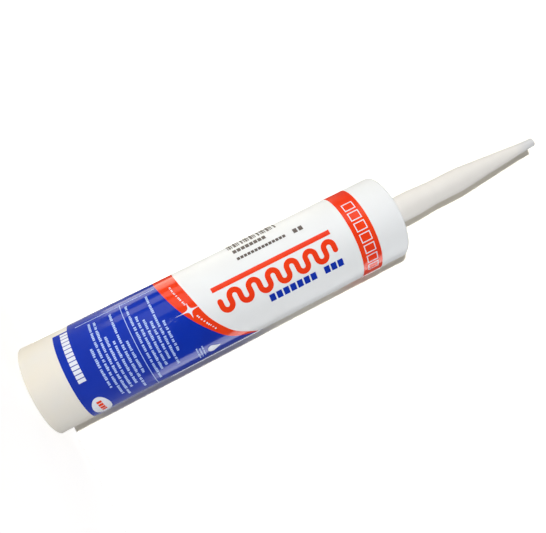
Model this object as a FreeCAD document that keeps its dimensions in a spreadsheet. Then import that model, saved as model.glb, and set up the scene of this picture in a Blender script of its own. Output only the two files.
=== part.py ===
import FreeCAD, Part
import math
import os
import Sketcher

# Caulk tube: a sealant cartridge standing on its open rear rim, nozzle up.
# Millimetres. Z is the tube's axis, with z = 0 at the rear rim, and the label's middle faces -Y.

# Driving dimensions, each written once and read from the sheet everywhere else.
DIMENSIONS = [
    # Barrel, one moulding with its front wall and neck
    ("barrel_diameter", 50.0),
    ("barrel_wall", 1.5),
    ("barrel_length", 214.0),
    ("front_wall", 2.0),
    ("corner_radius", 2.4),
    ("rim_radius", 0.3),
    ("lead_in_depth", 5.0),
    ("lead_in_step", 0.3),
    ("neck_diameter", 11.2),
    ("neck_length", 12.0),
    ("neck_bore", 7.0),
    ("seat_diameter", 17.0),
    ("seat_height", 0.8),
    ("membrane_thickness", 1.0),
    ("thread_diameter", 12.6),
    ("thread_pitch", 3.0),
    ("thread_turns", 2.5),
    ("thread_width", 1.4),
    ("thread_start", 1.0),
    # Nozzle, screwed on the neck, its nib still solid
    ("nozzle_gap", 0.3),
    ("thread_clearance", 0.1),
    ("collar_diameter", 16.0),
    ("collar_length", 17.0),
    ("shoulder_length", 13.9),
    ("shank_diameter", 14.2),
    ("shank_length", 19.0),
    ("spout_length", 44.0),
    ("nib_diameter", 6.2),
    ("nib_length", 9.4),
    ("tip_diameter", 5.2),
    ("nozzle_wall", 1.1),
    # Piston, a cup with two wiping lips
    ("piston_recess", 20.0),
    ("piston_height", 20.0),
    ("piston_clearance", 0.1),
    ("piston_wall", 1.6),
    ("crown_thickness", 2.5),
    ("lip_height", 3.0),
    ("lip_step", 0.8),
    ("hub_diameter", 12.0),
    ("rib_height", 7.0),
    ("rib_thickness", 1.4),
    ("rib_count", 8.0),
    # Sealant charge
    ("charge_clearance", 0.1),
    # Print, a skin of ink by colour, with lengths round the barrel given along its surface
    ("ink_thickness", 0.06),
    ("ink_clearance", 0.07),
    ("field_rear_edge", 19.0),
    ("field_seam", -26.5),
    ("field_notch_depth", 8.0),
    ("field_notch_angle", 150.0),
    ("sweep_to_front", 93.5),
    ("sweep_height", 44.1),
    ("band_width", 12.0),
    ("band_to_front", 18.4),
    ("title_to_band", 10.8),
    ("title_length", 70.5),
    ("overline_width", 2.8),
    ("overline_place", -6.4),
    ("bead_width", 3.0),
    ("bead_height", 11.4),
    ("bead_place", 2.2),
    ("bead_strokes", 13.0),
    ("block_row_place", 11.6),
    ("block_row_height", 4.2),
    ("block_row_length", 44.5),
    ("block_row_count", 11.0),
    ("block_row_word", 7.0),
    ("block_gap", 0.9),
    ("barcode_length", 30.4),
    ("barcode_to_front", 62.6),
    ("barcode_place", -32.0),
    ("barcode_height", 10.0),
    ("code_row_inset", 1.3),
    ("code_row_place", -22.8),
    ("code_row_height", 3.0),
    ("code_row_length", 19.7),
    ("code_row_count", 8.0),
    ("note_row_place", -16.5),
    ("note_row_height", 1.9),
    ("note_row_length", 29.0),
    ("note_row_count", 14.0),
    ("tally_length", 5.6),
    ("tally_to_front", 52.3),
    ("heading_start", -25.0),
    ("heading_end", 5.5),
    ("heading_height", 4.0),
    ("heading_offset", 4.0),
    ("heading_count", 13.0),
    ("spot_width", 16.6),
    ("spot_height", 9.4),
    ("spot_place", 25.0),
    ("spot_offset", 7.3),
    ("drop_width", 5.4),
    ("drop_length", 7.5),
    ("drop_place", 24.2),
    ("drop_to_front", 123.0),
]

# Front edge of the blue field and of the red sweep beside it, once round the barrel:
# degrees from the label's middle, and the share of the sweep's height below its highest point.
BLUE_EDGE = [
    (-80, 1.0),
    (-36, 0.94),
    (-10, 0.85),
    (10, 0.74),
    (30, 0.60),
    (47, 0.47),
    (60, 0.32),
    (72, 0.15),
    (86, 0.04),
    (125, 0.0),
    (165, 0.20),
    (205, 0.56),
    (240, 0.87),
]
RED_EDGE = [
    (-80, 0.74),
    (-36, 0.70),
    (-10, 0.64),
    (10, 0.58),
    (30, 0.47),
    (47, 0.35),
    (60, 0.22),
    (72, 0.12),
    (86, 0.06),
    (125, 0.08),
    (165, 0.24),
    (205, 0.44),
    (240, 0.64),
]

# Bar and gap widths of the barcode, in modules, repeated along its length.
BAR_MODULES = [1, 1, 2, 1, 1, 2, 3, 1, 1, 1, 1, 3, 2, 2]
BAR_REPEATS = 3

# How near two lengths are to be the same, how far a cutting tool reaches past what it cuts,
# and how far the wall along an edge reaches to each side of the skin, as a share of its radius.
CLOSE = 1e-4
MARGIN = 1.0
WALL_REACH = 0.04

# Widest piece of a skin that is made at once, in degrees.
WIDEST_SECTOR = 60.0

doc = FreeCAD.newDocument("caulk_tube")


# Spreadsheet

sheet = doc.addObject("Spreadsheet::Sheet", "dims")
sheet.Label = "dims"
for row, (alias, value) in enumerate(DIMENSIONS, 1):
    sheet.set("A%d" % row, alias)
    sheet.set("B%d" % row, str(value))
    sheet.setAlias("B%d" % row, alias)
doc.recompute()


def size(expression):
    """Value of a cell, or of a sum of cells written as dims.alias."""
    result = sheet.evalExpression(expression)
    return float(getattr(result, "Value", result))


# Helpers for turned pieces


def add_body(label):
    body = doc.addObject("PartDesign::Body", label + "_body")
    body.Label = label
    return body


def origin_feature(body, role):
    for feature in body.Origin.OriginFeatures:
        if feature.Role == role:
            return feature
    raise RuntimeError("no origin feature " + role)


def add_section(body, name, corners):
    """Closed outline in the XZ plane. A corner is two expressions: radius, then height."""
    sketch = body.newObject("Sketcher::SketchObject", name)
    sketch.AttachmentSupport = [(origin_feature(body, "XZ_Plane"), "")]
    sketch.MapMode = "FlatFace"
    points = [FreeCAD.Vector(size(radius), size(height), 0) for radius, height in corners]
    count = len(points)
    for index in range(count):
        sketch.addGeometry(Part.LineSegment(points[index], points[(index + 1) % count]), False)
    for index in range(count):
        sketch.addConstraint(Sketcher.Constraint("Coincident", index, 2, (index + 1) % count, 1))
    for index, (radius, height) in enumerate(corners):
        for kind, expression, axis in (("DistanceX", radius, -2), ("DistanceY", height, -1)):
            if expression == "0":
                sketch.addConstraint(Sketcher.Constraint("PointOnObject", index, 1, axis))
                continue
            constraint = Sketcher.Constraint(kind, -1, 1, index, 1, size(expression))
            number = sketch.addConstraint(constraint)
            sketch.setExpression("Constraints[%d]" % number, expression)
    return sketch


def add_revolution(body, name, corners):
    sketch = add_section(body, name + "_section", corners)
    turned = body.newObject("PartDesign::Revolution", name)
    turned.Profile = sketch
    turned.ReferenceAxis = (sketch, ["V_Axis"])
    turned.Angle = 360.0
    doc.recompute()
    return turned


def circle_edges(shape, radius, height):
    names = []
    for number, edge in enumerate(shape.Edges, 1):
        curve = edge.Curve
        if not isinstance(curve, Part.Circle):
            continue
        if abs(curve.Radius - radius) < CLOSE and abs(curve.Center.z - height) < CLOSE:
            names.append("Edge%d" % number)
    return names


def add_fillet(body, base, name, circles, radius_expression):
    """Round the circular edges given as pairs of expressions: radius, then height."""
    names = []
    for radius, height in circles:
        names += circle_edges(base.Shape, size(radius), size(height))
    fillet = body.newObject("PartDesign::Fillet", name)
    fillet.Base = (base, names)
    fillet.Radius = size(radius_expression)
    fillet.setExpression("Radius", radius_expression)
    doc.recompute()
    return fillet


# Barrel


def make_barrel():
    outer = "dims.barrel_diameter / 2"
    bore = "dims.barrel_diameter / 2 - dims.barrel_wall"
    lead_in = bore + " + dims.lead_in_step"
    front = "dims.barrel_length"
    inside_front = "dims.barrel_length - dims.front_wall"
    seat = "dims.seat_diameter / 2"
    seat_top = "dims.barrel_length + dims.seat_height"
    neck = "dims.neck_diameter / 2"
    neck_top = "dims.barrel_length + dims.neck_length"
    channel_top = neck_top + " - dims.membrane_thickness"
    body = add_body("barrel")
    shell = add_revolution(
        body,
        "barrel_shell",
        [
            (lead_in, "0"),
            (outer, "0"),
            (outer, front),
            (seat, front),
            (seat, seat_top),
            (neck, seat_top),
            (neck, neck_top),
            ("0", neck_top),
            ("0", channel_top),
            ("dims.neck_bore / 2", channel_top),
            ("dims.neck_bore / 2", inside_front),
            (bore, inside_front),
            (bore, "dims.lead_in_depth"),
        ],
    )
    corner = add_fillet(body, shell, "front_corner", [(outer, front)], "dims.corner_radius")
    add_fillet(body, corner, "rear_rim", [(outer, "0"), (lead_in, "0")], "dims.rim_radius")
    add_thread(body)
    return body


def add_thread(body):
    """One coarse ridge wound up the neck from just above the nozzle's seat."""
    start = "dims.barrel_length + dims.seat_height + dims.thread_start"
    foot = "dims.neck_diameter / 2 - dims.thread_width / 4"
    crest = "dims.thread_diameter / 2"
    profile = add_section(
        body,
        "thread_section",
        [
            (foot, start),
            (crest, start + " + dims.thread_width / 3"),
            (crest, start + " + dims.thread_width * 2 / 3"),
            (foot, start + " + dims.thread_width"),
        ],
    )
    thread = body.newObject("PartDesign::AdditiveHelix", "neck_thread")
    thread.Profile = profile
    thread.ReferenceAxis = (profile, ["V_Axis"])
    thread.Mode = "pitch-turns-angle"
    thread.Pitch = size("dims.thread_pitch")
    thread.Turns = size("dims.thread_turns")
    thread.setExpression("Pitch", "dims.thread_pitch")
    thread.setExpression("Turns", "dims.thread_turns")
    thread.Angle = 0.0
    doc.recompute()
    return thread


# Nozzle


def make_nozzle():
    collar = "dims.collar_diameter / 2"
    shank = "dims.shank_diameter / 2"
    nib = "dims.nib_diameter / 2"
    tip = "dims.tip_diameter / 2"
    socket = "dims.thread_diameter / 2 + dims.thread_clearance"
    seat = "dims.neck_length - dims.seat_height"
    duct = "dims.shank_diameter / 2 - dims.nozzle_wall"
    collar_top = "dims.collar_length"
    shoulder_top = collar_top + " + dims.shoulder_length"
    shank_top = shoulder_top + " + dims.shank_length"
    spout_top = shank_top + " + dims.spout_length"
    top = spout_top + " + dims.nib_length"
    body = add_body("nozzle")
    add_revolution(
        body,
        "nozzle_shell",
        [
            (socket, "0"),
            (collar, "0"),
            (collar, collar_top),
            (shank, shoulder_top),
            (shank, shank_top),
            (nib, spout_top),
            (tip, top),
            ("0", top),
            ("0", spout_top),
            (nib + " - dims.nozzle_wall", spout_top),
            (duct, shank_top),
            (duct, seat),
            (socket, seat),
        ],
    )
    body.setExpression("Placement.Base.z", "dims.barrel_length + dims.seat_height + dims.nozzle_gap")
    return body


# Piston


def make_piston():
    wiper = "dims.barrel_diameter / 2 - dims.barrel_wall - dims.piston_clearance"
    skirt = wiper + " - dims.lip_step"
    hollow = wiper + " - dims.lip_step - dims.piston_wall"
    top = "dims.piston_height"
    under = "dims.piston_height - dims.crown_thickness"
    body = add_body("piston")
    add_revolution(
        body,
        "piston_cup",
        [
            (hollow, "0"),
            (wiper, "0"),
            (wiper, "dims.lip_height"),
            (skirt, "dims.lip_height + dims.lip_step"),
            (skirt, top + " - dims.lip_height - dims.lip_step"),
            (wiper, top + " - dims.lip_height"),
            (wiper, top + " - dims.lip_step"),
            (skirt, top),
            ("0", top),
            ("0", under),
            (hollow, under),
        ],
    )
    add_revolution(
        body,
        "piston_hub",
        [
            ("0", under + " - dims.rib_height"),
            ("dims.hub_diameter / 2", under + " - dims.rib_height"),
            ("dims.hub_diameter / 2", under + " + dims.crown_thickness / 2"),
            ("0", under + " + dims.crown_thickness / 2"),
        ],
    )
    rib_section = add_section(
        body,
        "rib_section",
        [
            ("dims.hub_diameter / 4", under + " - dims.rib_height"),
            (hollow + " + dims.piston_wall / 2", under + " - dims.rib_height"),
            (hollow + " + dims.piston_wall / 2", under + " + dims.crown_thickness / 2"),
            ("dims.hub_diameter / 4", under + " + dims.crown_thickness / 2"),
        ],
    )
    rib = body.newObject("PartDesign::Pad", "piston_rib")
    rib.Profile = rib_section
    rib.SideType = "Symmetric"
    rib.Length = size("dims.rib_thickness")
    rib.setExpression("Length", "dims.rib_thickness")
    doc.recompute()
    ribs = body.newObject("PartDesign::PolarPattern", "piston_ribs")
    ribs.Originals = [rib]
    ribs.Axis = (rib_section, ["V_Axis"])
    ribs.Angle = 360.0
    ribs.Occurrences = int(size("dims.rib_count"))
    ribs.setExpression("Occurrences", "dims.rib_count")
    body.Tip = ribs
    body.setExpression("Placement.Base.z", "dims.piston_recess")
    doc.recompute()
    return body


# Sealant


def make_sealant():
    wall = "dims.barrel_diameter / 2 - dims.barrel_wall - dims.charge_clearance"
    rear = "dims.piston_recess + dims.piston_height + dims.charge_clearance"
    front = "dims.barrel_length - dims.front_wall - dims.charge_clearance"
    channel = "dims.neck_bore / 2 - dims.charge_clearance"
    channel_top = "dims.barrel_length + dims.neck_length - dims.membrane_thickness"
    channel_top += " - dims.charge_clearance"
    body = add_body("sealant")
    add_revolution(
        body,
        "sealant_charge",
        [
            ("0", rear),
            (wall, rear),
            (wall, front),
            (channel, front),
            (channel, channel_top),
            ("0", channel_top),
        ],
    )
    return body


# Helpers for the print

barrel_radius = size("dims.barrel_diameter") / 2
barrel_length = size("dims.barrel_length")
ink_thickness = size("dims.ink_thickness")
ink_clearance = size("dims.ink_clearance")
axis = FreeCAD.Vector(0, 0, 1)
origin = FreeCAD.Vector(0, 0, 0)


def degrees_round(length):
    """Angle of a length along the barrel's surface."""
    return math.degrees(length / barrel_radius)


def ring(layer, low, high, start=0.0, sweep=360.0):
    """Ink between two heights. Layer 0 lies on the barrel, and layer 1 on the ink of layer 0.
    Start and sweep are degrees from the label's middle, towards +X. A wide sweep is joined
    from sectors, because one thin face right round the barrel gives a poor volume once cut."""
    foot = FreeCAD.Vector(0, 0, low)
    inner = barrel_radius + ink_clearance + layer * (ink_thickness + ink_clearance)
    count = math.ceil(sweep / WIDEST_SECTOR)
    sectors = []
    for index in range(count):
        outside = Part.makeCylinder(inner + ink_thickness, high - low, foot, axis, sweep / count)
        inside = Part.makeCylinder(inner, high - low, foot, axis, sweep / count)
        sector = outside.cut(inside)
        sector.rotate(origin, axis, start - 90.0 + index * sweep / count)
        sectors.append(sector)
    if count == 1:
        return sectors[0]
    return sectors[0].fuse(sectors[1:])


def patch(layer, place, width, low, high):
    """Rectangle of ink, centred at a place round the barrel."""
    start = degrees_round(place - width / 2)
    return ring(layer, low, high, start, degrees_round(width))


def stamp(layer, face, place=0.0):
    """Ink where a face in the XZ plane is pressed on the barrel, then turned to its place."""
    block = face.extrude(FreeCAD.Vector(0, -2 * barrel_radius, 0))
    bounds = face.BoundBox
    skin = ring(layer, bounds.ZMin - MARGIN, bounds.ZMax + MARGIN, -90.0, 180.0).common(block)
    skin.rotate(origin, axis, degrees_round(place))
    return skin


def row_of_blocks(layer, place, height, low, high, count, gap):
    """List of equal blocks in a row along the barrel."""
    pitch = (high - low + gap) / count
    blocks = []
    for index in range(count):
        start = low + index * pitch
        blocks.append(patch(layer, place, height, start, start + pitch - gap))
    return blocks


def above_edge(edge):
    """Solid wall from a closed line round the barrel up past its front end."""
    highest = barrel_length - size("dims.sweep_to_front")
    lines = []
    for radius in (barrel_radius * (1 - WALL_REACH), barrel_radius * (1 + WALL_REACH)):
        points = []
        for angle, share in edge:
            turn = math.radians(angle)
            x = radius * math.sin(turn)
            y = -radius * math.cos(turn)
            z = highest - share * size("dims.sweep_height")
            points.append(FreeCAD.Vector(x, y, z))
        line = Part.BSplineCurve()
        line.interpolate(Points=points, PeriodicFlag=True)
        lines.append(line.toShape())
    wall = Part.makeRuledSurface(lines[0], lines[1])
    return wall.extrude(FreeCAD.Vector(0, 0, barrel_length))


def add_print(label, shapes):
    skin = doc.addObject("Part::Feature", label + "_skin")
    skin.Label = label
    skin.Shape = Part.makeCompound(shapes)
    skin.Placement = FreeCAD.Placement()
    return skin


def solids_of(shapes):
    found = []
    for shape in shapes:
        found += shape.Solids
    return found


# Print by colour

band_front = barrel_length - size("dims.band_to_front")
band_rear = band_front - size("dims.band_width")
title_front = band_rear - size("dims.title_to_band")
title_rear = title_front - size("dims.title_length")
field_rear = size("dims.field_rear_edge")


def make_print_blue():
    seam = degrees_round(size("dims.field_seam"))
    notch_start = size("dims.field_notch_angle")
    notch_sweep = 360.0 + seam - notch_start
    notch_top = field_rear + size("dims.field_notch_depth")
    field = ring(0, field_rear, barrel_length)
    field = field.cut(above_edge(BLUE_EDGE))
    field = field.cut(ring(0, field_rear - MARGIN, notch_top, notch_start, notch_sweep))
    blocks = row_of_blocks(
        0,
        size("dims.block_row_place"),
        size("dims.block_row_height"),
        title_front - size("dims.block_row_length"),
        title_front,
        int(size("dims.block_row_count")),
        size("dims.block_gap"),
    )
    del blocks[int(size("dims.block_row_word"))]
    return add_print("print_blue", solids_of([field] + blocks))


def bead_outline():
    """Serpentine bead: straight strokes across the title, joined by half rings."""
    width = size("dims.bead_width")
    strokes = int(size("dims.bead_strokes"))
    pitch = (title_front - title_rear - width) / (strokes - 1)
    turn = pitch / 2
    reach = (size("dims.bead_height") - width) / 2 - turn
    middle = size("dims.bead_place")
    edges = []
    for index in range(strokes):
        height = title_rear + width / 2 + index * pitch
        side = 1 if index % 2 == 0 else -1
        near = FreeCAD.Vector(middle - side * reach, 0, height)
        far = FreeCAD.Vector(middle + side * reach, 0, height)
        edges.append(Part.LineSegment(near, far).toShape())
        if index == strokes - 1:
            break
        top = FreeCAD.Vector(middle + side * (reach + turn), 0, height + turn)
        after = FreeCAD.Vector(middle + side * reach, 0, height + pitch)
        edges.append(Part.Arc(far, top, after).toShape())
    return Part.Wire(edges).makeOffset2D(width / 2, 0, True)


def make_print_red():
    band = ring(0, band_rear, band_front)
    sweep = ring(0, field_rear, barrel_length)
    sweep = sweep.common(above_edge(BLUE_EDGE)).cut(above_edge(RED_EDGE))
    overline = patch(
        0,
        size("dims.overline_place"),
        size("dims.overline_width"),
        title_rear,
        title_front,
    )
    bead = stamp(0, bead_outline())
    return add_print("print_red", solids_of([band, sweep, overline, bead]))


def make_print_black():
    front = barrel_length - size("dims.barcode_to_front")
    rear = front - size("dims.barcode_length")
    place = size("dims.barcode_place")
    height = size("dims.barcode_height")
    module = (front - rear) / (sum(BAR_MODULES) * BAR_REPEATS)
    bars = []
    start = rear
    for index, modules in enumerate(BAR_MODULES * BAR_REPEATS):
        if index % 2 == 0:
            bars.append(patch(0, place, height, start, start + modules * module))
        start += modules * module
    row_rear = rear + size("dims.code_row_inset")
    code = row_of_blocks(
        0,
        size("dims.code_row_place"),
        size("dims.code_row_height"),
        row_rear,
        row_rear + size("dims.code_row_length"),
        int(size("dims.code_row_count")),
        size("dims.block_gap") / 2,
    )
    note = row_of_blocks(
        0,
        size("dims.note_row_place"),
        size("dims.note_row_height"),
        row_rear,
        row_rear + size("dims.note_row_length"),
        int(size("dims.note_row_count")),
        size("dims.block_gap") / 2,
    )
    tally_front = barrel_length - size("dims.tally_to_front")
    tally = row_of_blocks(
        0,
        size("dims.note_row_place"),
        size("dims.code_row_height"),
        tally_front - size("dims.tally_length"),
        tally_front,
        2,
        size("dims.block_gap"),
    )
    return add_print("print_black", solids_of(bars + code + note + tally))


def drop_outline():
    """Drop with its point to the front: a half circle and two lines."""
    radius = size("dims.drop_width") / 2
    front = barrel_length - size("dims.drop_to_front") + size("dims.drop_length") / 2
    middle = front - size("dims.drop_length") + radius
    left = FreeCAD.Vector(-radius, 0, middle)
    bottom = FreeCAD.Vector(0, 0, middle - radius)
    right = FreeCAD.Vector(radius, 0, middle)
    point = FreeCAD.Vector(0, 0, front)
    edges = [
        Part.Arc(left, bottom, right).toShape(),
        Part.LineSegment(right, point).toShape(),
        Part.LineSegment(point, left).toShape(),
    ]
    return Part.Face(Part.Wire(edges))


def make_print_white():
    heading_low = field_rear + size("dims.heading_offset")
    heading_high = heading_low + size("dims.heading_height")
    start = size("dims.heading_start")
    count = int(size("dims.heading_count"))
    gap = size("dims.block_gap") / 2
    pitch = (size("dims.heading_end") - start + gap) / count
    blocks = []
    for index in range(count):
        place = start + index * pitch + (pitch - gap) / 2
        blocks.append(patch(1, place, pitch - gap, heading_low, heading_high))
    centre = FreeCAD.Vector(0, 0, field_rear + size("dims.spot_offset"))
    side = centre + FreeCAD.Vector(size("dims.spot_width") / 2, 0, 0)
    top = centre + FreeCAD.Vector(0, 0, size("dims.spot_height") / 2)
    oval = Part.Ellipse(side, top, centre)
    spot = stamp(1, Part.Face(Part.Wire(oval.toShape())), size("dims.spot_place"))
    drop = stamp(1, drop_outline(), size("dims.drop_place"))
    return add_print("print_white", solids_of(blocks + [spot, drop]))


# Build, check and export

pieces = [
    make_barrel(),
    make_nozzle(),
    make_piston(),
    make_sealant(),
    make_print_blue(),
    make_print_red(),
    make_print_black(),
    make_print_white(),
]
doc.recompute()

for item in doc.Objects:
    if "Invalid" in item.State or "Error" in item.State:
        raise RuntimeError(item.Name + " failed: " + str(item.State))
for piece in pieces:
    if piece.Shape.isNull() or not piece.Shape.isValid():
        raise RuntimeError(piece.Label + " has no valid shape")

os.makedirs("parts", exist_ok=True)
for piece in pieces:
    piece.Shape.exportStep(os.path.join("parts", piece.Label + ".step"))
    solids = len(piece.Shape.Solids)
    print("%-12s %3d solids %12.1f mm3" % (piece.Label, solids, piece.Shape.Volume))
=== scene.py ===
import math
import random

import bpy
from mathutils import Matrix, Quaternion, Vector


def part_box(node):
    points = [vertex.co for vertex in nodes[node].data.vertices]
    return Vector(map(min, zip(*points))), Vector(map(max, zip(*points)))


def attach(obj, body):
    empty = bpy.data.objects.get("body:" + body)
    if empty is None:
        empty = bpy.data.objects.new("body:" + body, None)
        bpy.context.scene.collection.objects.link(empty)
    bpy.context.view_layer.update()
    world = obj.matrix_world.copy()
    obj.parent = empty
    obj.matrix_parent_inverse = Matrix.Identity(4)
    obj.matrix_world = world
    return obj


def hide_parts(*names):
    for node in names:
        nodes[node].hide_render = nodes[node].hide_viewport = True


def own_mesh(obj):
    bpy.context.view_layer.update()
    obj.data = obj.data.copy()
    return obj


# The look of the caulk tube. Metres, with the tube's axis along Z and the label facing -Y.

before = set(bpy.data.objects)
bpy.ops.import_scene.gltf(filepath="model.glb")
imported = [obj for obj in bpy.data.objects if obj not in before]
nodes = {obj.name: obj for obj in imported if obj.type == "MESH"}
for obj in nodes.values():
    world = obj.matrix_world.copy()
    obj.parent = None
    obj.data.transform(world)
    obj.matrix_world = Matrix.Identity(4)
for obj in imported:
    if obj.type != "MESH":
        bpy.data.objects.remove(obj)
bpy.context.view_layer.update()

MM = 0.001

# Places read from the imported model

barrel_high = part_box("barrel")[1]
nozzle_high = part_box("nozzle")[1]
blue_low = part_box("print_blue")[0]
red_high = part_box("print_red")[1]
white_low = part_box("print_white")[0]
BARREL_RADIUS = barrel_high.x
INK_RADIUS = red_high.x
OVAL_RADIUS = -white_low.y
FIELD_REAR = blue_low.z
BAND_FRONT = red_high.z
NOZZLE_FRONT = nozzle_high.z

# Sizes that no box gives, the same as the model's

BAND_WIDTH = 12.0 * MM

# The photograph's camera

PHOTO_WIDTH = 546
FOCAL_PIXELS = 615.0
SENSOR_WIDTH = 36.0
CAMERA_CLIP = 0.01
CAMERA_PLACE = Vector((0.0, -344.54 * MM, 86.87 * MM))
CAMERA_LOOK = Vector((-0.01020, 0.98790, 0.15476))
CAMERA_ROLL = math.radians(63.2)


# Small tools


def srgb(red, green, blue):
    """Linear colour from the eight-bit values that a screen shows, by the sRGB curve."""
    linear = []
    for value in (red, green, blue):
        share = value / 255.0
        low = share / 12.92
        high = ((share + 0.055) / 1.055) ** 2.4
        linear.append(low if share <= 0.04045 else high)
    return (*linear, 1.0)


def add_node(tree, kind, **values):
    """A shader node, with its plain inputs set by name."""
    node = tree.nodes.new(kind)
    for name, value in values.items():
        node.inputs[name.replace("_", " ")].default_value = value
    return node


def link(tree, start, end):
    tree.links.new(start, end)


def new_material(name):
    material = bpy.data.materials.new(name)
    material.use_nodes = True
    tree = material.node_tree
    tree.nodes.clear()
    return material, tree


def give(node_name, material):
    """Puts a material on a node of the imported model."""
    mesh = nodes[node_name].data
    mesh.materials.clear()
    mesh.materials.append(material)


def on_barrel(around, height, radius):
    """Point at a length round the barrel from the label's middle, a height and a radius."""
    turn = around / BARREL_RADIUS
    return Vector((radius * math.sin(turn), -radius * math.cos(turn), height))


# Parts of materials

# The mix node has several sets of sockets, and these are the ones for colours
MIX_COLOURS = (6, 7)
MIX_RESULT = 2


def object_place(tree):
    return tree.nodes.new("ShaderNodeTexCoord").outputs["Object"]


def add_noise(tree, place, scale, detail=4.0):
    noise = add_node(tree, "ShaderNodeTexNoise", Scale=scale, Detail=detail)
    link(tree, place, noise.inputs["Vector"])
    return noise.outputs["Fac"]


def add_range(tree, value, low, high, start=0.3, end=0.7):
    """Maps a value between start and end to one between low and high."""
    span = tree.nodes.new("ShaderNodeMapRange")
    span.inputs["From Min"].default_value = start
    span.inputs["From Max"].default_value = end
    span.inputs["To Min"].default_value = low
    span.inputs["To Max"].default_value = high
    link(tree, value, span.inputs["Value"])
    return span.outputs["Result"]


def add_mix(tree, factor, first, second):
    """Mixes two colours, each a colour or another node's output."""
    mix = tree.nodes.new("ShaderNodeMix")
    mix.data_type = "RGBA"
    link(tree, factor, mix.inputs["Factor"])
    for socket, colour in zip(MIX_COLOURS, (first, second)):
        if isinstance(colour, tuple):
            mix.inputs[socket].default_value = colour
        else:
            link(tree, colour, mix.inputs[socket])
    return mix.outputs[MIX_RESULT]


def add_bump(tree, height, strength, distance):
    bump = add_node(tree, "ShaderNodeBump", Strength=strength, Distance=distance)
    link(tree, height, bump.inputs["Height"])
    return bump.outputs["Normal"]


def add_turn(tree, place, heights, rear, front):
    """Colour that turns from the rear one to the front one between two heights."""
    parts = tree.nodes.new("ShaderNodeSeparateXYZ")
    link(tree, place, parts.inputs["Vector"])
    share = add_range(tree, parts.outputs["Z"], 0.0, 1.0, start=heights[0], end=heights[1])
    return add_mix(tree, share, rear, front)


def add_cloud(tree, place, scale, share, first, second):
    """Colour that wanders from the first towards the second, by no more than that share."""
    cloud = add_range(tree, add_noise(tree, place, scale), 0.0, share)
    return add_mix(tree, cloud, first, second)


def finish_surface(tree, place, colour, grain, detail, rough, bump, depth, **values):
    """Shader of that colour, with a fine grain that varies its roughness and dents it.
    rough is the least and the most roughness."""
    fine = add_noise(tree, place, grain, detail)
    shader = add_node(tree, "ShaderNodeBsdfPrincipled", **values)
    output = tree.nodes.new("ShaderNodeOutputMaterial")
    link(tree, colour, shader.inputs["Base Color"])
    link(tree, add_range(tree, fine, *rough), shader.inputs["Roughness"])
    link(tree, add_bump(tree, fine, bump, depth), shader.inputs["Normal"])
    link(tree, shader.outputs["BSDF"], output.inputs["Surface"])


# Materials

PLASTIC_SPECULAR = 0.35
PLASTIC_DEPTH = 0.05 * MM
# Heights between which the barrel turns from its warm rear end to cooler white
REAR_TURN = (16.0 * MM, 60.0 * MM)
# Heights between which the nozzle turns to the greyer tip
TIP_TURN = (NOZZLE_FRONT - 14.0 * MM, NOZZLE_FRONT - 4.0 * MM)
INK_ROUGH_SPREAD = 0.08


def make_barrel_material():
    """Satin white polyethylene: warmer over the empty rear end, with faint flow marks."""
    material, tree = new_material("white_polyethylene")
    place = object_place(tree)
    base = add_turn(tree, place, REAR_TURN, rear=srgb(238, 231, 216), front=srgb(236, 239, 241))
    colour = add_cloud(
        tree, place, scale=45.0, share=0.5, first=base, second=srgb(230, 231, 231)
    )
    finish_surface(
        tree, place, colour,
        grain=900.0, detail=3.0, rough=(0.38, 0.50), bump=0.15, depth=PLASTIC_DEPTH,
        Specular_IOR_Level=PLASTIC_SPECULAR,
    )
    return material


def make_nozzle_material():
    """Natural polyethylene, a little greyer and cooler where the tip is solid."""
    material, tree = new_material("natural_polyethylene")
    place = object_place(tree)
    base = add_turn(tree, place, TIP_TURN, rear=srgb(234, 231, 226), front=srgb(212, 214, 218))
    colour = add_cloud(
        tree, place, scale=70.0, share=0.45, first=base, second=srgb(225, 222, 217)
    )
    finish_surface(
        tree, place, colour,
        grain=1100.0, detail=3.0, rough=(0.40, 0.52), bump=0.15, depth=PLASTIC_DEPTH,
        Specular_IOR_Level=PLASTIC_SPECULAR,
    )
    return material


def make_piston_material():
    """Natural polyethylene, clouded a little."""
    material, tree = new_material("piston_polyethylene")
    place = object_place(tree)
    colour = add_cloud(
        tree, place, scale=60.0, share=1.0, first=srgb(226, 226, 220), second=srgb(214, 214, 209)
    )
    finish_surface(
        tree, place, colour,
        grain=800.0, detail=3.0, rough=(0.42, 0.55), bump=0.2, depth=PLASTIC_DEPTH,
        Specular_IOR_Level=PLASTIC_SPECULAR,
    )
    return material


def make_sealant_material():
    """Soft paste, smoother and wetter than the plastic, with broad swirls."""
    material, tree = new_material("sealant_paste")
    place = object_place(tree)
    colour = add_cloud(
        tree, place, scale=120.0, share=1.0, first=srgb(222, 224, 224), second=srgb(208, 212, 213)
    )
    finish_surface(
        tree, place, colour,
        grain=400.0, detail=2.0, rough=(0.25, 0.35), bump=0.3, depth=0.2 * MM,
    )
    return material


def make_ink(name, main, faded, least_rough, specular):
    """Printed ink: its colour wanders a little, with a fine roller grain."""
    material, tree = new_material(name)
    place = object_place(tree)
    colour = add_cloud(tree, place, scale=60.0, share=1.0, first=main, second=faded)
    rough = (least_rough, least_rough + INK_ROUGH_SPREAD)
    finish_surface(
        tree, place, colour,
        grain=1500.0, detail=2.0, rough=rough, bump=0.08, depth=0.03 * MM,
        Specular_IOR_Level=specular,
    )
    return material


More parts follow.
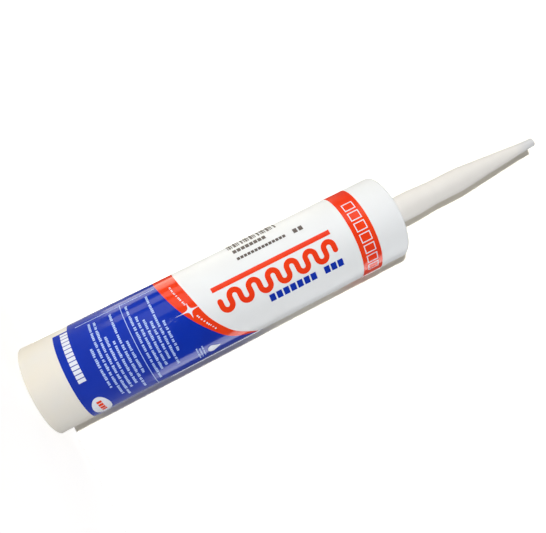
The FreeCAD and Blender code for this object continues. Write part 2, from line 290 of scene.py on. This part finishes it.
sealant_material = make_sealant_material()
blue_ink = make_ink(
    "blue_ink", srgb(4, 50, 178), srgb(6, 44, 164), least_rough=0.08, specular=0.4
)
red_ink = make_ink(
    "red_ink", srgb(242, 66, 18), srgb(234, 52, 16), least_rough=0.10, specular=0.35
)
black_ink = make_ink(
    "grey_black_ink", srgb(84, 76, 74), srgb(100, 92, 88), least_rough=0.35, specular=0.3
)
white_ink = make_ink(
    "white_ink", srgb(236, 238, 246), srgb(226, 230, 242), least_rough=0.25, specular=0.35
)
pale_ink = make_ink(
    "pale_blue_ink", srgb(190, 210, 250), srgb(172, 196, 242), least_rough=0.25, specular=0.35
)

give("barrel", make_barrel_material())
give("nozzle", make_nozzle_material())
give("piston", make_piston_material())
give("print_blue", blue_ink)
give("print_red", red_ink)
give("print_black", black_ink)
give("print_white", white_ink)


# Print too small for the solids

# Heights of this ink's bottom and top over what it is printed on
INK_BOTTOM = 0.005 * MM
INK_TOP = 0.045 * MM
# Inner and outer radius of ink on the coloured fields, and of ink on the white oval
FIELD_INK = (INK_RADIUS + INK_BOTTOM, INK_RADIUS + INK_TOP)
OVAL_INK = (OVAL_RADIUS + INK_BOTTOM, OVAL_RADIUS + INK_TOP)
COLUMN_STEP = 0.8 * MM


def add_strip(mesh_data, columns, radii):
    """Closed curved slab. A column is a place round the barrel, then its low and high heights."""
    vertices, faces = mesh_data
    first = len(vertices)
    for around, low, high in columns:
        for radius in radii:
            vertices.append(on_barrel(around, low, radius))
            vertices.append(on_barrel(around, high, radius))
    last = len(columns) - 1
    for index in range(last):
        here = first + 4 * index
        there = here + 4
        faces.append((here, here + 1, there + 1, there))
        faces.append((here + 2, there + 2, there + 3, here + 3))
        faces.append((here, there, there + 2, here + 2))
        faces.append((here + 1, here + 3, there + 3, there + 1))
    end = first + 4 * last
    faces.append((first, first + 2, first + 3, first + 1))
    faces.append((end, end + 1, end + 3, end + 2))


def add_bar(mesh_data, start, end, low, high, radii=FIELD_INK):
    """Plain bar, with columns close enough to follow the barrel."""
    count = max(1, math.ceil((end - start) / COLUMN_STEP))
    columns = []
    for index in range(count + 1):
        columns.append((start + (end - start) * index / count, low, high))
    add_strip(mesh_data, columns, radii)


def add_print_piece(name, mesh_data, material):
    mesh = bpy.data.meshes.new(name)
    mesh.from_pydata(mesh_data[0], [], mesh_data[1])
    mesh.validate()
    mesh.materials.append(material)
    piece = bpy.data.objects.new(name, mesh)
    bpy.context.scene.collection.objects.link(piece)
    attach(piece, "barrel")


# The numbers below are millimetres: lengths round the barrel from the label's middle, and lengths
# along it from the blue field's rear edge.

# Middle of each row of small print along the barrel, then the row's start and end round it
PARAGRAPH_ROWS = [
    (16.5, -7.5, 15.0),
    (19.6, -22.5, 23.0),
    (22.4, -21.7, 27.5),
    (25.2, -10.0, 21.7),
    (28.2, -6.0, 21.0),
    (31.2, -22.0, 27.0),
    (34.1, -3.0, 16.0),
    (40.2, -22.0, 27.0),
    (43.1, -12.5, 21.0),
    (46.0, -9.0, 19.0),
    (48.9, -6.5, 16.0),
    (51.8, -22.0, 22.0),
    (54.7, -4.0, 14.0),
]
DROP_ROWS = [(63.0, 18.5, 28.5), (64.6, 19.5, 28.5), (66.2, 18.5, 27.0)]
PARAGRAPH_ROW_HEIGHT = 1.6
DROP_ROW_HEIGHT = 0.9
HALF_ROUND = math.pi * BARREL_RADIUS / MM
SMALL_PRINT_SEED = 11
# Ticks in a group, their widths and the gaps after a tick and after a group
GROUP_TICKS = (2, 7)
TICK_WIDTHS = (0.5, 0.95)
TICK_GAP = 0.25
GROUP_GAP = 0.6
ROW_END_ROOM = 0.5
# How far a tick reaches below and above its row's middle, as shares of the row's height
TICK_DROP = 0.36
TICK_RISES = (0.36, 0.36, 0.5)


def add_words(mesh_data, chance, row, turn, height):
    """Stand-in for a row of small print: ticks in groups, with no letter among them.
    The row is moved round the barrel by turn."""
    offset, start, end = row
    middle = FIELD_REAR + offset * MM
    at = turn + start
    left_in_group = chance.randint(*GROUP_TICKS)
    while at < turn + end - ROW_END_ROOM:
        width = chance.uniform(*TICK_WIDTHS)
        rise = height * chance.choice(TICK_RISES)
        low = middle - TICK_DROP * height * MM
        add_bar(mesh_data, at * MM, (at + width) * MM, low, middle + rise * MM)
        at += width + TICK_GAP
        left_in_group -= 1
        if left_in_group == 0:
            at += GROUP_GAP
            left_in_group = chance.randint(*GROUP_TICKS)


def make_small_print():
    """The paragraphs, the same rows on the far side of the barrel, and the rows by the drop."""
    chance = random.Random(SMALL_PRINT_SEED)
    mesh_data = ([], [])
    for turn in (0.0, HALF_ROUND):
        for row in PARAGRAPH_ROWS:
            add_words(mesh_data, chance, row, turn, PARAGRAPH_ROW_HEIGHT)
    for row in DROP_ROWS:
        add_words(mesh_data, chance, row, 0.0, DROP_ROW_HEIGHT)
    add_print_piece("print_small_rows", mesh_data, pale_ink)


RULE_PLACE = 37.2
RULE_START = -26.0
RULE_END = 33.0
RULE_WIDTH = 0.35
LINE_PLACE = -25.2
LINE_START = 12.5
LINE_LENGTH = 45.0
HALF_LINE_WIDTH = 0.2


def make_rules():
    """Rule round the barrel between the two paragraphs, and a line along it beside them."""
    mesh_data = ([], [])
    low = FIELD_REAR + RULE_PLACE * MM
    add_bar(mesh_data, RULE_START * MM, RULE_END * MM, low, low + RULE_WIDTH * MM)
    start = (LINE_PLACE - HALF_LINE_WIDTH) * MM
    end = (LINE_PLACE + HALF_LINE_WIDTH) * MM
    low = FIELD_REAR + LINE_START * MM
    add_bar(mesh_data, start, end, low, low + LINE_LENGTH * MM)
    add_print_piece("print_rules", mesh_data, pale_ink)


# Places on the middle of the red sweep: round the barrel, then along it
SWEEP_MIDDLE = [(-35.0, 63.3), (-15.7, 65.3), (-4.4, 68.6), (4.4, 72.5), (13.1, 77.5)]
SWEEP_TICK_ROWS = [(-20.0, -6.5), (1.5, 12.0)]
SWEEP_TICK_WIDTHS = (0.4, 0.8)
SWEEP_TICK_GAPS = (0.3, 0.3, 0.3, 0.9)
SWEEP_TICK_DROP = 0.4
SWEEP_TICK_RISE = 0.5
SWEEP_SEED = 3
# A printed four-pointed sparkle in white ink, its long ray along the barrel a painted highlight
SPARKLE_HIGHLIGHT_PLACE = (-2.4, 69.0)
# How far the sparkle and its painted highlight streak reach along the barrel at each distance
# round it from its middle
SPARKLE_HIGHLIGHT_RAYS = [
    (0.0, 8.5),
    (0.15, 4.4),
    (0.3, 2.6),
    (0.6, 1.5),
    (0.9, 1.0),
    (1.5, 0.6),
    (2.5, 0.35),
    (4.2, 0.05),
]


def sweep_height(around):
    """Where the sweep's middle lies along the barrel, at a place round it."""
    for (start, low), (end, high) in zip(SWEEP_MIDDLE, SWEEP_MIDDLE[1:]):
        if around <= end:
            return low + (high - low) * (around - start) / (end - start)
    return SWEEP_MIDDLE[-1][1]


def make_sweep_details():
    """Ticks along the red sweep, and a white four-pointed sparkle over it, whose long ray along
    the barrel is a painted highlight.
    """
    mesh_data = ([], [])
    chance = random.Random(SWEEP_SEED)
    for start, end in SWEEP_TICK_ROWS:
        at = start
        while at < end:
            width = chance.uniform(*SWEEP_TICK_WIDTHS)
            middle = FIELD_REAR + sweep_height(at) * MM
            low = middle - SWEEP_TICK_DROP * MM
            high = middle + SWEEP_TICK_RISE * MM
            add_bar(mesh_data, at * MM, (at + width) * MM, low, high)
            at += width + chance.choice(SWEEP_TICK_GAPS)
    # The sparkle, with its painted highlight streak along the barrel
    around, forward = SPARKLE_HIGHLIGHT_PLACE
    middle = FIELD_REAR + forward * MM
    rays = [(-distance, reach) for distance, reach in reversed(SPARKLE_HIGHLIGHT_RAYS)]
    rays.extend(SPARKLE_HIGHLIGHT_RAYS[1:])
    columns = []
    for offset, reach in rays:
        columns.append(((around + offset) * MM, middle - reach * MM, middle + reach * MM))
    add_strip(mesh_data, columns, FIELD_INK)
    add_print_piece("sweep_marks_and_painted_highlight", mesh_data, white_ink)


FRAME_ROW_START = -17.5
FRAME_ROW_END = 27.5
FRAME_COUNT = 7
FRAME_WIDTH = 5.2
FRAME_HEIGHT = 6.6
FRAME_LINE = 0.55


def make_band_frames():
    """Row of open white frames round the red band."""
    mesh_data = ([], [])
    middle = BAND_FRONT - BAND_WIDTH / 2
    low = middle - FRAME_HEIGHT / 2 * MM
    high = middle + FRAME_HEIGHT / 2 * MM
    line = FRAME_LINE * MM
    pitch = (FRAME_ROW_END - FRAME_ROW_START - FRAME_WIDTH) / (FRAME_COUNT - 1)
    for index in range(FRAME_COUNT):
        start = (FRAME_ROW_START + index * pitch) * MM
        end = start + FRAME_WIDTH * MM
        add_bar(mesh_data, start, end, low, low + line)
        add_bar(mesh_data, start, end, high - line, high)
        add_bar(mesh_data, start, start + line, low + line, high - line)
        add_bar(mesh_data, end - line, end, low + line, high - line)
    add_print_piece("print_band_frames", mesh_data, white_ink)


OVAL_PLACE = 7.3
OVAL_BARS = [(19.6, 21.4), (22.0, 24.2), (24.8, 27.0), (27.6, 29.6)]
HALF_BAR_LENGTH = 1.3


def make_oval_bars():
    """Red bars on the white oval."""
    mesh_data = ([], [])
    middle = FIELD_REAR + OVAL_PLACE * MM
    low = middle - HALF_BAR_LENGTH * MM
    high = middle + HALF_BAR_LENGTH * MM
    for start, end in OVAL_BARS:
        add_bar(mesh_data, start * MM, end * MM, low, high, OVAL_INK)
    add_print_piece("print_oval_bars", mesh_data, red_ink)


make_small_print()
make_rules()
make_sweep_details()
make_band_frames()
make_oval_bars()


# Sealant ahead of the piston


def make_sealant():
    """Copy of the sealant's solid, with the paste's material, carried with the barrel."""
    charge = bpy.data.objects.new("sealant_charge", nodes["sealant"].data.copy())
    bpy.context.scene.collection.objects.link(charge)
    charge.data.materials.clear()
    charge.data.materials.append(sealant_material)
    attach(charge, "barrel")
    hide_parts("sealant")
    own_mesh(charge)


make_sealant()


# Camera

camera_data = bpy.data.cameras.new("camera")
camera_data.sensor_width = SENSOR_WIDTH
camera_data.lens = FOCAL_PIXELS / PHOTO_WIDTH * SENSOR_WIDTH
camera_data.clip_start = CAMERA_CLIP
camera = bpy.data.objects.new("camera", camera_data)
camera.location = CAMERA_PLACE
camera.rotation_mode = "QUATERNION"
look = CAMERA_LOOK.to_track_quat("-Z", "Y")
camera.rotation_quaternion = look @ Quaternion((0, 0, 1), CAMERA_ROLL)
bpy.context.scene.collection.objects.link(camera)
bpy.context.scene.camera = camera


# Floor and backdrop

# Half the width of the floor and of the backdrop
HALF_STAGE = 12.0
WALL_GAP = 0.6 * MM
WALL_PLACE = BARREL_RADIUS + WALL_GAP
WALL_FOOT = -1.0 * MM
# Distances from the tube over which the stage fades to white, where height counts for less
GLOW_SHAPE = (1.0, 1.0, 0.3)
GLOW_NEAR = 0.11
GLOW_FAR = 0.28
WHITE = (1.0, 1.0, 1.0, 1.0)
NO_GLOW = (0.0, 0.0, 0.0, 1.0)
FLOOR_PAINT = (0.60, 0.60, 0.60, 1.0)
FLOOR_GLOW = (0.62, 0.61, 0.60, 1.0)
WALL_PAINT = (0.85, 0.81, 0.72, 1.0)


def make_pale_material(name, paint, glow, one_sided):
    """Matt surface with a glow that rises to white away from the tube and lights nothing.
    One-sided, it shows to the camera from its front and to nothing else."""
    material, tree = new_material(name)
    matt = add_node(tree, "ShaderNodeBsdfDiffuse", Color=paint)
    face = tree.nodes.new("ShaderNodeNewGeometry")
    shaped = tree.nodes.new("ShaderNodeVectorMath")
    shaped.operation = "MULTIPLY"
    shaped.inputs[1].default_value = GLOW_SHAPE
    link(tree, face.outputs["Position"], shaped.inputs[0])
    distance = tree.nodes.new("ShaderNodeVectorMath")
    distance.operation = "LENGTH"
    link(tree, shaped.outputs["Vector"], distance.inputs[0])
    far = add_range(tree, distance.outputs["Value"], 0.0, 1.0, start=GLOW_NEAR, end=GLOW_FAR)
    light = tree.nodes.new("ShaderNodeEmission")
    link(tree, add_mix(tree, far, glow, WHITE), light.inputs["Color"])
    path = tree.nodes.new("ShaderNodeLightPath")
    link(tree, path.outputs["Is Camera Ray"], light.inputs["Strength"])
    both = tree.nodes.new("ShaderNodeAddShader")
    link(tree, matt.outputs["BSDF"], both.inputs[0])
    link(tree, light.outputs["Emission"], both.inputs[1])
    output = tree.nodes.new("ShaderNodeOutputMaterial")
    if not one_sided:
        link(tree, both.outputs["Shader"], output.inputs["Surface"])
        return material
    seen = tree.nodes.new("ShaderNodeMath")
    seen.operation = "SUBTRACT"
    link(tree, path.outputs["Is Camera Ray"], seen.inputs[0])
    link(tree, face.outputs["Backfacing"], seen.inputs[1])
    clear = tree.nodes.new("ShaderNodeBsdfTransparent")
    pick = tree.nodes.new("ShaderNodeMixShader")
    link(tree, seen.outputs["Value"], pick.inputs["Fac"])
    link(tree, clear.outputs["BSDF"], pick.inputs[1])
    link(tree, both.outputs["Shader"], pick.inputs[2])
    link(tree, pick.outputs["Shader"], output.inputs["Surface"])
    return material


def make_plane(name, corners, material):
    mesh = bpy.data.meshes.new(name)
    mesh.from_pydata(corners, [], [(0, 1, 2, 3)])
    mesh.materials.append(material)
    plane = bpy.data.objects.new(name, mesh)
    bpy.context.scene.collection.objects.link(plane)
    return plane


make_plane(
    "floor",
    [
        (-HALF_STAGE, -HALF_STAGE, 0),
        (HALF_STAGE, -HALF_STAGE, 0),
        (HALF_STAGE, HALF_STAGE, 0),
        (-HALF_STAGE, HALF_STAGE, 0),
    ],
    make_pale_material("pale_floor", FLOOR_PAINT, FLOOR_GLOW, one_sided=False),
)
backdrop = make_plane(
    "backdrop",
    [
        (-HALF_STAGE, WALL_PLACE, WALL_FOOT),
        (HALF_STAGE, WALL_PLACE, WALL_FOOT),
        (HALF_STAGE, WALL_PLACE, HALF_STAGE),
        (-HALF_STAGE, WALL_PLACE, HALF_STAGE),
    ],
    make_pale_material("pale_wall", WALL_PAINT, NO_GLOW, one_sided=True),
)


# Lamps and world

WORLD_LEVEL = 0.18
# Height on the tube that every lamp is aimed at
AIM_HEIGHT = 0.15
PLAIN_WHITE = (1.0, 1.0, 1.0)
WARM_WHITE = (1.0, 0.94, 0.80)


def add_lamp(name, azimuth, distance, height, width, length, level, colour=PLAIN_WHITE):
    """Area lamp aimed at the tube. Azimuth is degrees from -Y towards +X, and the level is
    the share of full white that the lamp gives a white surface that faces it there."""
    turn = math.radians(azimuth)
    place = Vector((distance * math.sin(turn), -distance * math.cos(turn), height))
    aim = Vector((0, 0, AIM_HEIGHT)) - place
    data = bpy.data.lights.new(name, "AREA")
    data.shape = "RECTANGLE"
    data.size = width
    data.size_y = length
    data.energy = level * math.pi * math.pi * aim.length_squared
    data.color = colour
    lamp = bpy.data.objects.new(name, data)
    lamp.location = place
    lamp.rotation_mode = "QUATERNION"
    lamp.rotation_quaternion = aim.to_track_quat("-Z", "Y")
    bpy.context.scene.collection.objects.link(lamp)
    return lamp


def link_lamp(lamp, surface, state):
    """INCLUDE lets the lamp light that surface alone, and EXCLUDE all but that surface."""
    receivers = bpy.data.collections.new(lamp.name + "_receivers")
    receivers.objects.link(surface)
    receivers.collection_objects[0].light_linking.link_state = state
    lamp.light_linking.receiver_collection = receivers


key = add_lamp(
    "key", azimuth=-9.0, distance=1.6, height=0.16, width=0.05, length=0.05, level=0.60
)
key.visible_glossy = False
link_lamp(key, backdrop, "EXCLUDE")
backdrop_lamp = add_lamp(
    "backdrop_lamp", azimuth=-8.0, distance=0.60, height=0.06, width=0.02, length=0.02, level=1.7
)
link_lamp(backdrop_lamp, backdrop, "INCLUDE")
add_lamp(
    "fill", azimuth=-45.0, distance=0.90, height=0.25, width=0.50, length=0.80, level=0.18
)
add_lamp(
    "left_panel", azimuth=-117.0, distance=0.42, height=0.15, width=0.24, length=0.30,
    level=0.35, colour=WARM_WHITE,
)
add_lamp(
    "left_strip", azimuth=-76.0, distance=0.42, height=0.15, width=0.12, length=0.30,
    level=0.15, colour=WARM_WHITE,
)
add_lamp(
    "right_panel", azimuth=106.0, distance=0.65, height=0.20, width=0.30, length=0.80, level=0.57
)
add_lamp(
    "rear", azimuth=180.0, distance=0.90, height=0.25, width=0.60, length=0.80, level=0.38
)
add_lamp(
    "top", azimuth=180.0, distance=0.05, height=1.30, width=0.50, length=0.50, level=0.20
)


def make_world():
    """Soft light from all round, and full white where the camera looks past the stage."""
    world = bpy.data.worlds.new("studio")
    bpy.context.scene.world = world
    world.use_nodes = True
    tree = world.node_tree
    tree.nodes.clear()
    path = tree.nodes.new("ShaderNodeLightPath")
    seen = path.outputs["Is Camera Ray"]
    level = add_range(tree, seen, WORLD_LEVEL, 1.0, start=0.0, end=1.0)
    background = add_node(tree, "ShaderNodeBackground", Color=WHITE)
    link(tree, level, background.inputs["Strength"])
    output = tree.nodes.new("ShaderNodeOutputWorld")
    link(tree, background.outputs["Background"], output.inputs["Surface"])


make_world()
bpy.context.scene.view_settings.view_transform = "Standard"
